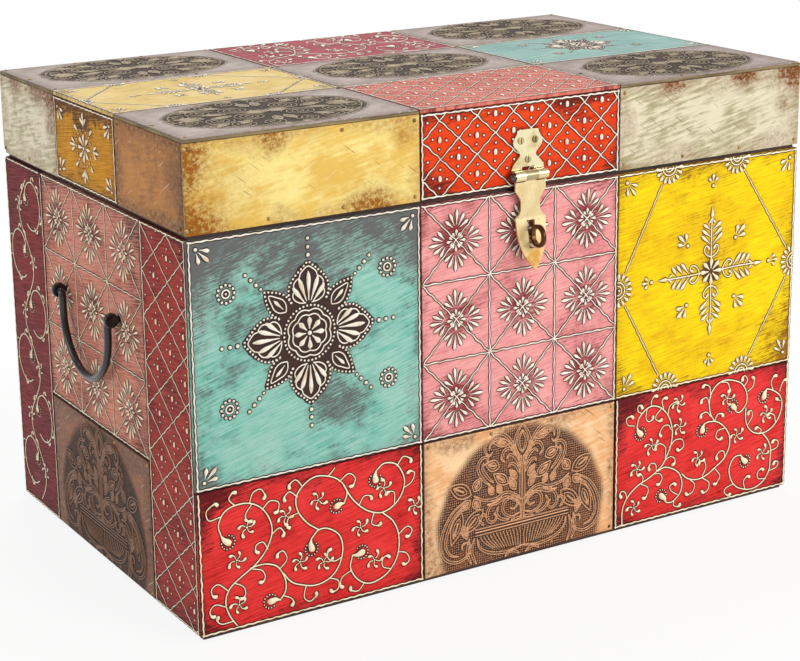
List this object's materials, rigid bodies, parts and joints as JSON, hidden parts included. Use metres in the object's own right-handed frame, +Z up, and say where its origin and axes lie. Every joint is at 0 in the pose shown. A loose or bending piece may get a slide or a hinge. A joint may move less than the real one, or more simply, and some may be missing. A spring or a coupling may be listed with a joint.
{
  "type": "storage chest",
  "caption": "Wooden storage trunk with a deep hinged box lid, faced with painted ornamental panels and embossed metal sheets, with a slotted hasp over a staple and drop handles.",
  "frame": {"origin": "middle of the carcass's footprint, on the surface that the chest stands on", "axes": "+X to the right along the front, the front looks towards -Y, +Z up"},
  "size_m": [0.638, 0.4069, 0.4071],
  "materials": {
    "carcass_wood": "dark stained planks, worn matt",
    "backing_wood": "bare thin board under the metal sheets",
    "turquoise_paint": "distressed turquoise paint with raised white cone painting",
    "pink_paint": "distressed pink paint with raised white lattice",
    "yellow_paint": "distressed yellow paint with raised white ornament",
    "red_paint": "distressed red paint with raised cream vines",
    "dark_red_paint": "distressed dark red paint with raised cream ornament",
    "rose_paint": "distressed dusty rose paint with raised flowers",
    "ochre_paint": "distressed ochre paint with raised flower",
    "orange_red_paint": "orange-red paint with raised white lattice and dots",
    "coral_paint": "coral paint with raised white lattice and dots",
    "pale_yellow_paint": "pale worn yellow paint with raised ornament",
    "pale_turquoise_paint": "pale worn turquoise paint with raised ornament",
    "copper_sheet": "embossed copper sheet, darkened relief",
    "brass_sheet": "aged brass sheet with brown patina",
    "white_metal_sheet": "aged white metal sheet, embossed and darkened",
    "brass_tacks": "small dull domed tacks",
    "hasp_brass": "polished cast and sheet brass",
    "hinge_steel": "plain steel, slightly dull",
    "black_iron": "black enamelled iron"
  },
  "bodies": {
    "chest": {"front_board": "carcass_wood", "back_board": "carcass_wood", "left_board": "carcass_wood", "right_board": "carcass_wood", "bottom_board": "carcass_wood", "front_turquoise_panel": "turquoise_paint", "front_pink_panel": "pink_paint", "front_yellow_panel": "yellow_paint", "front_left_red_panel": "red_paint", "front_copper_sheet": "copper_sheet", "front_right_red_panel": "red_paint", "left_lattice_panel": "dark_red_paint", "left_flower_panel": "rose_paint", "left_copper_sheet": "copper_sheet", "left_vine_panel": "dark_red_paint", "right_lattice_panel": "dark_red_paint", "right_flower_panel": "rose_paint", "right_copper_sheet": "copper_sheet", "right_vine_panel": "dark_red_paint", "body_sheet_backings": "backing_wood", "body_sheet_tacks": "brass_tacks", "staple_eye": "hasp_brass", "handle_eyes": "black_iron", "hinge_body_leaves": "hinge_steel", "hinge_body_screws": "hinge_steel", "hinge_pins": "hinge_steel"},
    "lid": {"lid_top_board": "carcass_wood", "lid_front_rail": "carcass_wood", "lid_back_rail": "carcass_wood", "lid_left_rail": "carcass_wood", "lid_right_rail": "carcass_wood", "lid_front_brass_sheet": "brass_sheet", "lid_front_lattice_panel": "orange_red_paint", "lid_front_white_metal_sheet": "white_metal_sheet", "lid_left_brass_sheet": "brass_sheet", "lid_left_ochre_panel": "ochre_paint", "lid_left_white_metal_sheet": "white_metal_sheet", "lid_right_brass_sheet": "brass_sheet", "lid_right_ochre_panel": "ochre_paint", "lid_right_white_metal_sheet": "white_metal_sheet", "lid_top_front_left_sheet": "white_metal_sheet", "lid_top_coral_panel": "coral_paint", "lid_top_front_right_sheet": "white_metal_sheet", "lid_top_pale_yellow_panel": "pale_yellow_paint", "lid_top_centre_sheet": "white_metal_sheet", "lid_top_pale_turquoise_panel": "pale_turquoise_paint", "lid_top_back_left_sheet": "white_metal_sheet", "lid_top_rose_panel": "rose_paint", "lid_top_back_right_sheet": "white_metal_sheet", "lid_sheet_backings": "backing_wood", "lid_sheet_tacks": "brass_tacks", "hinge_lid_leaves": "hinge_steel", "hinge_lid_screws": "hinge_steel", "hasp_plate": "hasp_brass", "hasp_screws": "hasp_brass", "hasp_pin": "hasp_brass"},
    "hasp": {"hasp_strap": "hasp_brass"},
    "left_handle": {"handle_left": "black_iron"},
    "right_handle": {"handle_right": "black_iron"}
  },
  "joints": [
    {"name": "lid_hinge", "type": "hinge", "parent": "chest", "child": "lid", "pos_m": [0, 0.184, 0.331], "axis": [-1, 0, 0], "range_deg": [0, 97]},
    {"name": "hasp_swing", "type": "hinge", "parent": "lid", "child": "hasp", "pos_m": [0.007, -0.1949, 0.341], "axis": [-1, 0, 0], "range_deg": [0, 170]},
    {"name": "left_handle_swing", "type": "hinge", "parent": "chest", "child": "left_handle", "pos_m": [-0.3126, 0, 0.234], "axis": [0, 1, 0], "range_deg": [0, 170]},
    {"name": "right_handle_swing", "type": "hinge", "parent": "chest", "child": "right_handle", "pos_m": [0.3126, 0, 0.234], "axis": [0, -1, 0], "range_deg": [0, 170]}
  ]
}
